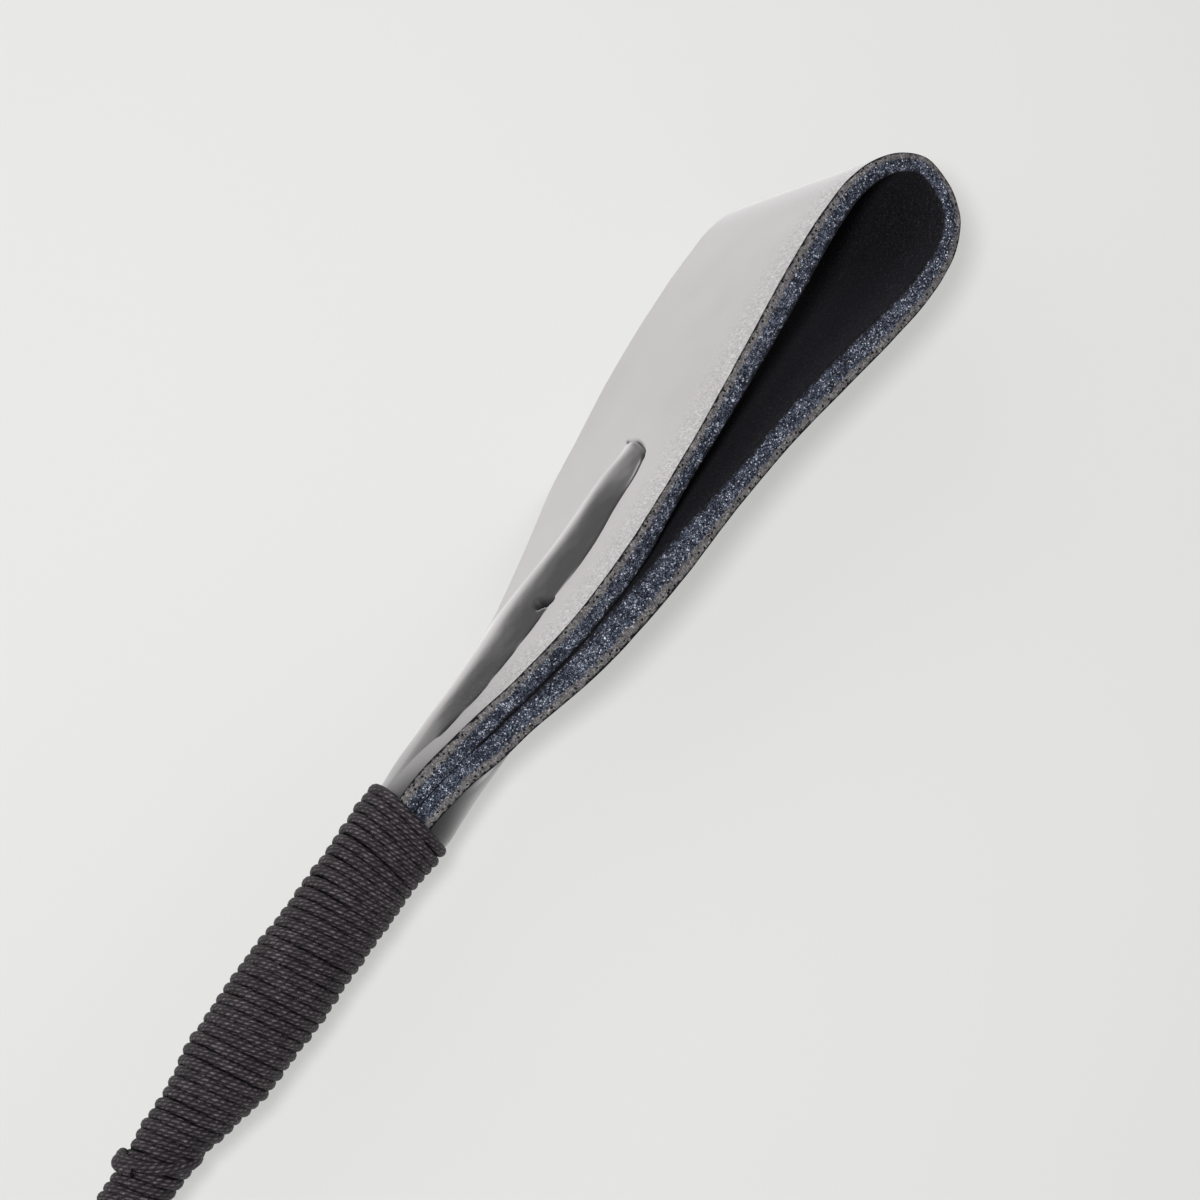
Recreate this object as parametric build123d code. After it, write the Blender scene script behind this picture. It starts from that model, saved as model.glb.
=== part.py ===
from build123d import *
import os

# Riding crop lying on a level surface.  Its long axis runs along X with the
# leather keeper at +X and the butt cap at -X.  The keeper strip stands on its
# cut edge, so the strip's width is vertical.  Millimetres, +Z up.

# ---- overall ---------------------------------------------------------------
CROP_LENGTH = 600.0
CAP_RADIUS = 12.5
AXIS_Z = CAP_RADIUS

# ---- keeper, a folded leather strip ----------------------------------------
STRIP_WIDTH = 2 * AXIS_Z
LEATHER = 1.8
KEEPER_REACH = 66.3
TIP_X = CROP_LENGTH / 2
WHIP_FRONT_X = TIP_X - KEEPER_REACH
FLEX_X = WHIP_FRONT_X + 36.8
FLEX_GAP = 2.4
# half thickness of the folded keeper at distances from the whipping's front
LOOP_OUTLINE = [(30, 2.7), (37, 3.2), (44, 4.0), (50, 4.75), (56, 5.3), (60, 5.15)]
# inner gap's half width where the two tabs lie together
TAB_INNER = [(0.2, 0.08), (16, 0.08), (23, 0.35), (30, 0.9), (37, 1.4)]
# the strip's edges above and below the shaft line, from the tied neck to full width
NECK_UPPER = [(0.2, 2.9), (5, 4.5), (9, 6.1), (13, 8.5), (17, 10.8), (21, 12.1)]
NECK_LOWER = [(0.2, 2.9), (8, 3.4), (13, 4.4), (18.5, 6.2), (23.5, 8.6), (28.5, 10.9)]
UPPER_END = 26.0
LOWER_END = 33.5

# ---- rod and its covers ----------------------------------------------------
ROD_TIP_RADIUS = 1.1
ROD_BUTT_RADIUS = 2.6
ROD_FRONT_X = WHIP_FRONT_X + 33.5
ROD_BUTT_X = -268.0
FIT_GAP = 0.03
CORD_GAP = 0.05
TIP_CAP_RADIUS = 2.1
TIP_CAP_LENGTH = 10.0
TIP_CAP_END = 1.2
BRAID_THICKNESS = 0.25
BRAID_FRONT_GAP = 0.3
# the leather's outer radius where it is moulded over the rod and its cap
RIDGE_RADIUS = TIP_CAP_RADIUS + 1.85
RIDGE_SWELL = [(8, 3.4), (17, 3.85)]

# ---- whipping, a wound cord ------------------------------------------------
CORD = 0.95
TIED_RADIUS = 2.8
SWELL_RADIUS = 2.95
SKIVED_RADIUS = 1.55
SWELL_START_X = WHIP_FRONT_X - 17.0
SWELL_END_X = WHIP_FRONT_X - 24.5
TAB_END_X = WHIP_FRONT_X - 31.0
HITCH_X = WHIP_FRONT_X - 32.2
HITCH_WIDTH = 1.4
HITCH_RADIUS = 2.75
HITCH_CHAMFER = 0.35
WHIP_END_X = WHIP_FRONT_X - 41.0
WHIP_END_RADIUS = 2.48

# ---- handle ----------------------------------------------------------------
GRIP_RADIUS = 8.0
GRIP_FRONT_X = -138.0
GRIP_BACK_X = -276.0
GRIP_WALL = 1.8
RING_WIDTH = 4.0
RING_RADIUS = 9.0
RING_CHAMFER = 0.5
FERRULE_LENGTH = 10.0
FERRULE_RADIUS = GRIP_RADIUS + 0.4
FERRULE_BEAD = 1.6
FERRULE_NOSE_RADIUS = 4.6
HANDLE_WHIP_LENGTH = 16.0
BRAID_END_X = GRIP_FRONT_X + 4.0

# ---- butt cap --------------------------------------------------------------
BUTT_X = -CROP_LENGTH / 2
CAP_FACE_RADIUS = 9.2
CAP_RIM_X = BUTT_X + 6.5
CAP_BACK_X = GRIP_BACK_X - RING_WIDTH
PLUG_RADIUS = 6.0
PLUG_DEPTH = 3.0
PLUG_SET_BACK = 0.5
PLUG_CHAMFER = 0.4
SCREW_HEAD_RADIUS = 3.4
SCREW_HEAD_DEPTH = 2.4
SCREW_RADIUS = 2.0
SCREW_LENGTH = 21.0
SCREW_GAP = 0.2
SOCKET_RADIUS = 1.45
SOCKET_DEPTH = 1.4


def turned(*profile):
    """A solid turned about the crop's axis from (x, radius) points."""
    outline = make_face(Polyline(*profile, close=True))
    return Pos(0, 0, AXIS_Z) * revolve(outline, Axis.X, 360)


def rod_radius(x):
    """Radius of the tapered rod at a place along the crop."""
    share = (ROD_FRONT_X - x) / (ROD_FRONT_X - ROD_BUTT_X)
    return ROD_TIP_RADIUS + share * (ROD_BUTT_RADIUS - ROD_TIP_RADIUS)


def rod_bore(x_low, x_high, gap=FIT_GAP):
    """The rod's own shape with a little clearance, used to bore what it passes."""
    return turned((x_low, 0), (x_low, rod_radius(x_low) + gap),
                  (x_high, rod_radius(x_high) + gap), (x_high, 0))


def along(points):
    """Points given from the whipping's front, in the crop's own frame."""
    return [(WHIP_FRONT_X + x, y) for x, y in points]


def shaft_core():
    """The tapered glass-fibre rod that runs from the handle into the keeper."""
    rod = turned((ROD_BUTT_X, 0), (ROD_BUTT_X, ROD_BUTT_RADIUS),
                 (ROD_FRONT_X, ROD_TIP_RADIUS), (ROD_FRONT_X, 0))
    return rod


def shaft_tip_cap():
    """A moulded cap that blunts the rod's end between the leather layers."""
    back = ROD_FRONT_X - TIP_CAP_LENGTH
    nose = ROD_FRONT_X + TIP_CAP_END
    cap = turned((back, 0), (back, TIP_CAP_RADIUS), (nose - TIP_CAP_RADIUS / 2, TIP_CAP_RADIUS),
                 (nose, TIP_CAP_RADIUS / 2), (nose, 0))
    return cap - rod_bore(back, ROD_FRONT_X)


def shaft_braid():
    """The braided sleeve over the rod, from the whipping to the handle."""
    front = TAB_END_X - BRAID_FRONT_GAP
    sleeve = turned((BRAID_END_X, 0), (BRAID_END_X, rod_radius(BRAID_END_X) + BRAID_THICKNESS),
                    (front, rod_radius(front) + BRAID_THICKNESS), (front, 0))
    return sleeve - rod_bore(BRAID_END_X, front)


def neck_half(edge, full_x):
    """One side of the strip's broad outline, from the shaft line out to its cut edge."""
    full = WHIP_FRONT_X + full_x
    curve = Spline(*along(edge), (full, AXIS_Z), tangents=[(1, 0.2), (1, 0)])
    start = curve @ 0
    return make_face(Wire([curve, Line((full, AXIS_Z), (TIP_X, AXIS_Z)), Line((TIP_X, AXIS_Z), (TIP_X, 0)),
                           Line((TIP_X, 0), (start.X, 0)), Line((start.X, 0), (start.X, start.Y))]))


def strip_side(x_low, x_high):
    """The strip's outline seen from its broad side, as a block to cut it with."""
    whole = neck_half(NECK_UPPER, UPPER_END) + mirror(neck_half(NECK_LOWER, LOWER_END), Plane.XZ)
    block = extrude(Plane.XZ * whole, CAP_RADIUS, both=True)
    window = Box(x_high - x_low, 4 * AXIS_Z, 4 * AXIS_Z, align=(Align.MIN, Align.CENTER, Align.CENTER))
    return Pos(0, 0, AXIS_Z) * (block & (Pos(x_low, 0, 0) * window))


def keeper_tab(side):
    """One leather tab: a plate moulded over the rod and tied round it at the neck."""
    inner = Spline(*along(TAB_INNER))
    end = inner @ 1
    start = inner @ 0
    outer = Spline(*[(x, y + LEATHER) for x, y in along(TAB_INNER)])
    plan = make_face(Wire([inner, Line(end, (end.X, end.Y + LEATHER)), outer,
                           Line((start.X, start.Y + LEATHER), start)]))
    plate = extrude(plan, STRIP_WIDTH)
    nose_x = ROD_FRONT_X + TIP_CAP_END
    ridge = turned((start.X, 0), (start.X, TIED_RADIUS), *along(RIDGE_SWELL),
                   (nose_x - RIDGE_RADIUS, RIDGE_RADIUS), (nose_x, RIDGE_RADIUS * 0.6), (nose_x, 0))
    shell = turned((TAB_END_X, 0), (TAB_END_X, SKIVED_RADIUS), (SWELL_END_X, SWELL_RADIUS),
                   (SWELL_START_X, SWELL_RADIUS), (WHIP_FRONT_X + 0.5, TIED_RADIUS),
                   (WHIP_FRONT_X + 0.5, 0))
    seam = TAB_INNER[0][1]
    half = Pos(0, seam, 0) * Box(400, 20, 2 * STRIP_WIDTH, align=(Align.CENTER, Align.MIN, Align.CENTER))
    moulded = (ridge + shell) & (Pos(WHIP_FRONT_X, 0, AXIS_Z) * half)
    plate = plate & strip_side(start.X, FLEX_X - FLEX_GAP / 2)
    cap_bore = turned((start.X, 0), (start.X, TIP_CAP_RADIUS + FIT_GAP),
                      (nose_x + FIT_GAP, TIP_CAP_RADIUS + FIT_GAP), (nose_x + FIT_GAP, 0))
    tab = (plate + moulded) - cap_bore - rod_bore(TAB_END_X - 1, start.X + 1)
    return tab if side > 0 else mirror(tab, Plane.XZ)


def loop_plan(inset):
    """The teardrop seen from above, drawn in from the outer face by an inset."""
    points = [(x, y - inset) for x, y in along(LOOP_OUTLINE)]
    far_points = [(x, -y) for x, y in reversed(points)]
    rim = Spline(*points, (TIP_X - inset, 0), *far_points, tangents=[(1, 0.06), (-1, 0.06)])
    return make_face(Wire([rim, Line(rim @ 1, rim @ 0)]))


def keeper_loop():
    """The free end of the keeper: the strip folded back on itself as a teardrop."""
    loop = extrude(loop_plan(0), STRIP_WIDTH) - extrude(loop_plan(LEATHER), STRIP_WIDTH)
    window = Box(100, 40, 100, align=(Align.MIN, Align.CENTER, Align.CENTER))
    return loop & (Pos(FLEX_X + FLEX_GAP / 2, 0, 0) * window)


def keeper_whipping():
    """The wound cord that ties the leather to the shaft, as one tapered sleeve."""
    front = WHIP_FRONT_X
    return turned((HITCH_X, WHIP_END_RADIUS - CORD + CORD_GAP), (HITCH_X, WHIP_END_RADIUS),
                  (SWELL_END_X, SWELL_RADIUS + CORD), (SWELL_START_X, SWELL_RADIUS + CORD),
                  (front, TIED_RADIUS + CORD), (front, TIED_RADIUS + FIT_GAP),
                  (SWELL_START_X, SWELL_RADIUS + FIT_GAP), (SWELL_END_X, SWELL_RADIUS + FIT_GAP),
                  (TAB_END_X, SKIVED_RADIUS + CORD_GAP))


def whipping_hitch():
    """The hitched turn that stands proud near the whipping's lower end."""
    back = HITCH_X - HITCH_WIDTH
    bore = WHIP_END_RADIUS - CORD + CORD_GAP
    edge = HITCH_RADIUS - HITCH_CHAMFER
    return turned((back, bore), (back, edge), (back + HITCH_CHAMFER, HITCH_RADIUS),
                  (HITCH_X - HITCH_CHAMFER, HITCH_RADIUS), (HITCH_X, edge), (HITCH_X, bore))


def whipping_tail():
    """The last turns of cord, wound straight on to the braided shaft."""
    front = HITCH_X - HITCH_WIDTH
    bore = WHIP_END_RADIUS - CORD + CORD_GAP
    return turned((WHIP_END_X, bore), (WHIP_END_X, WHIP_END_RADIUS),
                  (front, WHIP_END_RADIUS), (front, bore))


def handle_former():
    """The tube that thickens the rod inside the grip, closed at the butt."""
    outer = GRIP_RADIUS - GRIP_WALL - FIT_GAP
    block = turned((CAP_BACK_X, 0), (CAP_BACK_X, outer), (GRIP_FRONT_X, outer), (GRIP_FRONT_X, 0))
    braid_pocket = rod_bore(GRIP_FRONT_X - 1, BRAID_END_X + 1)
    screw_hole = turned((CAP_BACK_X, 0), (CAP_BACK_X, SCREW_RADIUS),
                        (screw_end(), SCREW_RADIUS), (screw_end(), 0))
    return block - rod_bore(ROD_BUTT_X, GRIP_FRONT_X) - braid_pocket - screw_hole


def grip_sleeve():
    """The leather wrapping that the hand holds."""
    inner = GRIP_RADIUS - GRIP_WALL
    return turned((GRIP_BACK_X, inner), (GRIP_BACK_X, GRIP_RADIUS), (GRIP_FRONT_X, GRIP_RADIUS),
                  (GRIP_FRONT_X, inner))


def grip_ferrule():
    """The turned metal nose that finishes the grip's front end."""
    front = GRIP_FRONT_X + FERRULE_LENGTH
    nose = turned((GRIP_FRONT_X, 0), (GRIP_FRONT_X, GRIP_RADIUS), (GRIP_FRONT_X + FERRULE_BEAD, FERRULE_RADIUS),
                  (GRIP_FRONT_X + 2 * FERRULE_BEAD, FERRULE_RADIUS), (front, FERRULE_NOSE_RADIUS), (front, 0))
    bore = rod_bore(GRIP_FRONT_X, front, gap=BRAID_THICKNESS + FIT_GAP)
    return nose - bore


def handle_whipping():
    """A short cord whipping on the braid just ahead of the ferrule."""
    back = GRIP_FRONT_X + FERRULE_LENGTH
    front = back + HANDLE_WHIP_LENGTH
    sleeve = turned((back, 0), (back, rod_radius(back) + BRAID_THICKNESS + CORD),
                    (front, rod_radius(front) + BRAID_THICKNESS + CORD), (front, 0))
    return sleeve - rod_bore(back, front, gap=BRAID_THICKNESS + FIT_GAP)


def grip_ring():
    """The trim ring between the grip and the butt cap."""
    back = GRIP_BACK_X - RING_WIDTH
    bore = GRIP_RADIUS - GRIP_WALL
    edge = RING_RADIUS - RING_CHAMFER
    return turned((back, bore), (back, edge), (back + RING_CHAMFER, RING_RADIUS),
                  (GRIP_BACK_X - RING_CHAMFER, RING_RADIUS), (GRIP_BACK_X, edge), (GRIP_BACK_X, bore))


def butt_cap():
    """The mushroom-shaped cap that stops the hand sliding off the end."""
    neck = GRIP_RADIUS
    half = make_face(Wire([
        Line((BUTT_X, 0), (BUTT_X, CAP_FACE_RADIUS)),
        Spline((BUTT_X, CAP_FACE_RADIUS), (BUTT_X + 1.4, CAP_FACE_RADIUS + 2.1), (CAP_RIM_X, CAP_RADIUS),
               tangents=[(0, 1), (1, 0)]),
        Spline((CAP_RIM_X, CAP_RADIUS), (CAP_RIM_X + 5.5, CAP_RADIUS - 2.6), (CAP_BACK_X, neck),
               tangents=[(1, 0), (1, -0.1)]),
        Line((CAP_BACK_X, neck), (CAP_BACK_X, 0)),
        Line((CAP_BACK_X, 0), (BUTT_X, 0))]))
    cap = Pos(0, 0, AXIS_Z) * revolve(half, Axis.X, 360)
    plug_seat = BUTT_X + PLUG_DEPTH
    recess = turned((BUTT_X, 0), (BUTT_X, PLUG_RADIUS), (plug_seat, PLUG_RADIUS), (plug_seat, 0))
    head_seat = plug_seat + SCREW_HEAD_DEPTH
    head_hole = turned((plug_seat, 0), (plug_seat, SCREW_HEAD_RADIUS + SCREW_GAP),
                       (head_seat, SCREW_HEAD_RADIUS + SCREW_GAP), (head_seat, 0))
    shank_hole = turned((head_seat, 0), (head_seat, SCREW_RADIUS + SCREW_GAP),
                        (CAP_BACK_X, SCREW_RADIUS + SCREW_GAP), (CAP_BACK_X, 0))
    return cap - recess - head_hole - shank_hole


def screw_end():
    """Where the cap screw's point stops inside the handle former."""
    return BUTT_X + PLUG_DEPTH + SCREW_LENGTH


def cap_screw():
    """The socket-head screw that clamps the cap to the handle former."""
    head = BUTT_X + PLUG_DEPTH
    seat = head + SCREW_HEAD_DEPTH
    screw = turned((head, 0), (head, SCREW_HEAD_RADIUS), (seat, SCREW_HEAD_RADIUS),
                   (seat, SCREW_RADIUS), (screw_end(), SCREW_RADIUS), (screw_end(), 0))
    socket = extrude(Plane.YZ * RegularPolygon(SOCKET_RADIUS, 6), SOCKET_DEPTH)
    return screw - Pos(head, 0, AXIS_Z) * socket


def cap_plug():
    """The press-in disc that hides the screw in the cap's end face."""
    face = BUTT_X + PLUG_SET_BACK
    seat = BUTT_X + PLUG_DEPTH - FIT_GAP
    rim = PLUG_RADIUS - FIT_GAP
    return turned((face, 0), (face, rim - PLUG_CHAMFER), (face + PLUG_CHAMFER, rim), (seat, rim), (seat, 0))


PARTS = {
    "shaft_core": shaft_core,
    "shaft_tip_cap": shaft_tip_cap,
    "shaft_braid": shaft_braid,
    "keeper_tab_left": lambda: keeper_tab(1),
    "keeper_tab_right": lambda: keeper_tab(-1),
    "keeper_loop": keeper_loop,
    "keeper_whipping": keeper_whipping,
    "whipping_hitch": whipping_hitch,
    "whipping_tail": whipping_tail,
    "handle_former": handle_former,
    "grip_sleeve": grip_sleeve,
    "grip_ferrule": grip_ferrule,
    "handle_whipping": handle_whipping,
    "grip_ring": grip_ring,
    "butt_cap": butt_cap,
    "cap_screw": cap_screw,
    "cap_plug": cap_plug,
}

os.makedirs("parts", exist_ok=True)
for name, make in PARTS.items():
    export_step(make(), f"parts/{name}.step")
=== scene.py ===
import bpy
import math
import numpy as np
from mathutils import Matrix, Vector


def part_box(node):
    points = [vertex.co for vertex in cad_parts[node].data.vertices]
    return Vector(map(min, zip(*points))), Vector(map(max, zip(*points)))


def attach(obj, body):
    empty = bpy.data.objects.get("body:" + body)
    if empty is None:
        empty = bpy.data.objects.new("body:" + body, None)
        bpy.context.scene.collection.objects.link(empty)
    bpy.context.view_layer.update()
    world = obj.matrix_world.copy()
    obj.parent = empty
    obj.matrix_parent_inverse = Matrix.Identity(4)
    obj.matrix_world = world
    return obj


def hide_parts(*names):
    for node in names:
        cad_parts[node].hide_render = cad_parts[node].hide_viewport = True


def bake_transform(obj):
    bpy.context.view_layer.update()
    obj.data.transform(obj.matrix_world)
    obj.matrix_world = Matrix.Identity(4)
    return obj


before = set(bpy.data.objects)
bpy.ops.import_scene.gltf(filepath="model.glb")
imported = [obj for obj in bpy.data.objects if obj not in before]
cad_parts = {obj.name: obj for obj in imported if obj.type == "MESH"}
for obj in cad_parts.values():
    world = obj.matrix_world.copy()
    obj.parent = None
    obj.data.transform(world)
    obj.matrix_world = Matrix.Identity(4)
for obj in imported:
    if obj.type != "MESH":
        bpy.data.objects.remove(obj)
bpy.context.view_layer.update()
MM = 0.001
random = np.random.default_rng(7)

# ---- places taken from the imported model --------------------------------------
WHIP_LOW, WHIP_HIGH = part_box("keeper_whipping")
FRONT = WHIP_HIGH.x / MM
AXIS_Z = (WHIP_LOW.z + WHIP_HIGH.z) / 2 / MM
HITCH_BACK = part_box("whipping_hitch")[0].x / MM - FRONT
TAIL_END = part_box("whipping_tail")[0].x / MM - FRONT
STRIP_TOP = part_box("keeper_loop")[1].z / MM
CROP = "crop"


# ---- small tools -------------------------------------------------------------
def smooth_step(x, low, high):
    """0 below low, 1 above high and a smooth rise between them."""
    t = np.clip((np.asarray(x, float) - low) / (high - low), 0, 1)
    return t * t * (3 - 2 * t)


def bump(x, centre, width):
    """A smooth hump of height 1 that is about 2 * width wide."""
    return np.exp(-((np.asarray(x, float) - centre) / width) ** 2)


def smooth_max(a, b, soft):
    """The larger of two values, rounded off where they are within soft of each other."""
    return 0.5 * (a + b + np.sqrt((a - b) ** 2 + soft * soft))


def curve_through(points, places):
    """A smooth cubic through (x, y) points, read at places; close points keep a flat stretch flat."""
    x, y = np.array(points, float).T
    step = np.diff(x)
    slope = np.diff(y) / step
    tangent = np.empty_like(y)
    tangent[1:-1] = (slope[:-1] * step[1:] + slope[1:] * step[:-1]) / (step[:-1] + step[1:])
    tangent[0], tangent[-1] = slope[0], slope[-1]
    i = np.clip(np.searchsorted(x, places) - 1, 0, len(x) - 2)
    t = (places - x[i]) / step[i]
    t = np.clip(t, 0, 1)
    h00 = 2 * t**3 - 3 * t**2 + 1
    h10 = t**3 - 2 * t**2 + t
    h01 = 3 * t**2 - 2 * t**3
    h11 = t**3 - t**2
    return h00 * y[i] + h10 * step[i] * tangent[i] + h01 * y[i + 1] + h11 * step[i] * tangent[i + 1]


def wave_noise(points, scale, seed, octaves=3):
    """Smooth noise, mostly in -1..1: a sum of randomly turned sine waves."""
    draw = np.random.default_rng(seed)
    total = np.zeros(len(points))
    size = 1.0
    weight = 0.0
    for _ in range(octaves):
        for _ in range(6):
            direction = draw.normal(size=3)
            direction *= 2 * math.pi / (scale * size) / np.linalg.norm(direction)
            total += size * np.sin(points @ direction + draw.uniform(0, 2 * math.pi))
        weight += size * 2.2
        size *= 0.5
    return total / weight


def in_metres(points):
    """Points measured in mm from the whipping's front, as metres in the row's frame."""
    return (np.asarray(points, float) + np.array([FRONT, 0, 0])) * MM


def new_object(name, points, faces, materials):
    """A smooth-shaded mesh object from points in metres."""
    mesh = bpy.data.meshes.new(name)
    mesh.from_pydata(np.asarray(points).tolist(), [], [tuple(f) for f in faces])
    mesh.polygons.foreach_set("use_smooth", [True] * len(mesh.polygons))
    mesh.update()
    piece = bpy.data.objects.new(name, mesh)
    bpy.context.scene.collection.objects.link(piece)
    for material in materials:
        mesh.materials.append(material)
    return piece


def point_value(piece, name, values):
    """Stores one number per vertex for a material to read."""
    layer = piece.data.attributes.new(name, "FLOAT", "POINT")
    layer.data.foreach_set("value", np.asarray(values, np.float32))


def grid_faces(rows, columns, wrap_rows=False, wrap_columns=False, first=0):
    """Quads of a grid of points stored column after column."""
    a = np.arange(columns if wrap_columns else columns - 1)
    b = np.arange(rows if wrap_rows else rows - 1)
    i, j = np.meshgrid(a, b, indexing="ij")
    i2, j2 = (i + 1) % columns, (j + 1) % rows
    quads = np.stack([i * rows + j, i2 * rows + j, i2 * rows + j2, i * rows + j2], -1)
    return quads.reshape(-1, 4) + first



def sweep(path, around, along, name, materials):
    """A closed tube along a path, with its ends capped.

    path is (n, 3), along holds the ring's two axes as (n, 3) arrays and around its offsets (n, k, 2)."""
    first, second = along
    rings = path[:, None, :] + around[..., :1] * first[:, None, :] + around[..., 1:] * second[:, None, :]
    count, sides = rings.shape[:2]
    points = np.vstack([rings.reshape(-1, 3), path[:1], path[-1:]])
    faces = grid_faces(sides, count, wrap_rows=True).tolist()
    k = np.arange(sides)
    caps = np.stack([(k + 1) % sides, k, np.full(sides, count * sides)], 1).tolist()
    last = (count - 1) * sides
    caps += np.stack([last + k, last + (k + 1) % sides, np.full(sides, count * sides + 1)], 1).tolist()
    return new_object(name, in_metres(points), faces + caps, materials)


def helix(turn_start, turn_end, per_turn, where, how_far, start_angle, hand=1):
    """A helix about the crop's axis with the two axes of the ring swept along it.

    where(turn) and how_far(turn) give x and radius in mm at a number of turns."""
    turns = np.linspace(turn_start, turn_end, int((turn_end - turn_start) * per_turn) + 1)
    angle = start_angle + hand * 2 * math.pi * turns
    x = where(turns)
    r = how_far(turns)
    out = np.stack([np.zeros_like(x), np.cos(angle), np.sin(angle)], 1)
    path = np.stack([x, np.zeros_like(x), np.full_like(x, AXIS_Z)], 1) + out * r[:, None]
    tangent = np.gradient(path, axis=0)
    tangent /= np.linalg.norm(tangent, axis=1)[:, None]
    side = np.cross(tangent, out)
    side /= np.linalg.norm(side, axis=1)[:, None]
    length = np.concatenate([[0], np.cumsum(np.linalg.norm(np.diff(path, axis=0), axis=1))])
    return path, (out, side), length


def turned(name, profile, materials, segments=96):
    """A closed turned piece from (x, radius) points in mm in the row's own frame."""
    profile = np.array(profile, float)
    angle = np.linspace(0, 2 * math.pi, segments, endpoint=False)
    x = np.repeat(profile[:, 0][:, None], segments, 1)
    r = np.repeat(profile[:, 1][:, None], segments, 1)
    points = np.stack([x, r * np.cos(angle), AXIS_Z + r * np.sin(angle)], -1).reshape(-1, 3)
    faces = grid_faces(segments, len(profile), wrap_rows=True, wrap_columns=True)
    return new_object(name, points * MM, faces.tolist(), materials)


def rounded(profile, radius):
    """Rounds the corners of an open (x, y) outline with short curves."""
    steps = 4
    points = [Vector(p) for p in profile]
    out = [points[0]]
    for a, b, c in zip(points, points[1:], points[2:]):
        cut = min(radius, (a - b).length * 0.45, (c - b).length * 0.45)
        p, q = b + (a - b).normalized() * cut, b + (c - b).normalized() * cut
        for k in range(steps + 1):
            t = k / steps
            out.append(p * (1 - t) ** 2 + b * 2 * t * (1 - t) + q * t * t)
    out.append(points[-1])
    return [tuple(p) for p in out]


# ---- materials ---------------------------------------------------------------
def add(tree, kind, inputs=None, **settings):
    """Adds a shader node. An input is a value, or a socket to link from."""
    node = tree.nodes.new(kind)
    for key, value in settings.items():
        setattr(node, key, value)
    for key, value in (inputs or {}).items():
        if isinstance(value, bpy.types.NodeSocket):
            tree.links.new(value, node.inputs[key])
        else:
            node.inputs[key].default_value = value
    return node


def new_material(name, **values):
    """A principled material; the values go straight on to the shader's own sockets."""
    material = bpy.data.materials.new(name)
    material.use_nodes = True
    tree = material.node_tree
    shader = tree.nodes["Principled BSDF"]
    for key, value in values.items():
        shader.inputs[key.replace("_", " ")].default_value = value
    return material, tree, shader


def colour_steps(tree, factor, steps):
    """A colour ramp from (place, (r, g, b)) pairs."""
    ramp = add(tree, "ShaderNodeValToRGB", {"Fac": factor})
    elements = ramp.color_ramp.elements
    while len(elements) < len(steps):
        elements.new(0.5)
    for element, (position, colour) in zip(elements, steps):
        element.position = position
        element.color = (*colour, 1)
    return ramp.outputs["Color"]


def grey_steps(tree, factor, steps):
    """A ramp of plain greys from (place, value) pairs."""
    return colour_steps(tree, factor, [(position, (value,) * 3) for position, value in steps])


def mixed(tree, factor, first, second, blend_type="MIX"):
    """Mixes two colours."""
    node = add(tree, "ShaderNodeMix", data_type="RGBA", blend_type=blend_type)
    for socket, value in ((0, factor), (6, first), (7, second)):
        if isinstance(value, bpy.types.NodeSocket):
            tree.links.new(value, node.inputs[socket])
        else:
            node.inputs[socket].default_value = value if socket == 0 else (*value, 1)
    return node.outputs[2]


def maths(tree, operation, first, second=0.0, third=0.0):
    """One step of arithmetic."""
    return add(tree, "ShaderNodeMath", {0: first, 1: second, 2: third}, operation=operation).outputs[0]


def times(tree, first, second):
    """The product of two values."""
    return maths(tree, "MULTIPLY", first, second)


def plus(tree, first, second):
    """The sum of two values."""
    return maths(tree, "ADD", first, second)


def link(shader, socket, value):
    """Drives one of the shader's sockets with a node's output."""
    shader.id_data.links.new(value, shader.inputs[socket])


def place(tree, stretch=(1, 1, 1)):
    """The point being shaded, in metres, with each axis scaled."""
    coordinates = add(tree, "ShaderNodeTexCoord").outputs["Object"]
    return add(tree, "ShaderNodeMapping", {"Vector": coordinates, "Scale": stretch}).outputs["Vector"]


def noise(tree, size_mm, vector, detail=2.0, rough=0.5, distortion=0.0):
    """Noise whose blobs are about size_mm across."""
    settings = {"Vector": vector, "Scale": 1 / (size_mm * MM), "Detail": detail,
                "Roughness": rough, "Distortion": distortion}
    return add(tree, "ShaderNodeTexNoise", settings).outputs["Fac"]


def cells(tree, size_mm, vector, feature="F1", smoothness=0.5):
    """Distance from the middles, or the edges, of cells about size_mm across."""
    settings = {"Vector": vector, "Scale": 1 / (size_mm * MM)}
    if feature == "SMOOTH_F1":
        settings["Smoothness"] = smoothness
    return add(tree, "ShaderNodeTexVoronoi", settings, feature=feature).outputs["Distance"]


def raise_surface(tree, shader, height, depth_mm, strength):
    """Bumps the shader's normal by a height in 0..1 that stands for depth_mm."""
    inputs = {"Height": height, "Distance": depth_mm * MM, "Strength": strength}
    bumped = add(tree, "ShaderNodeBump", inputs).outputs["Normal"]
    link(shader, "Normal", bumped)


def value_of(tree, name):
    """A number stored on the mesh's points."""
    return add(tree, "ShaderNodeAttribute", attribute_name=name).outputs["Fac"]


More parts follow.
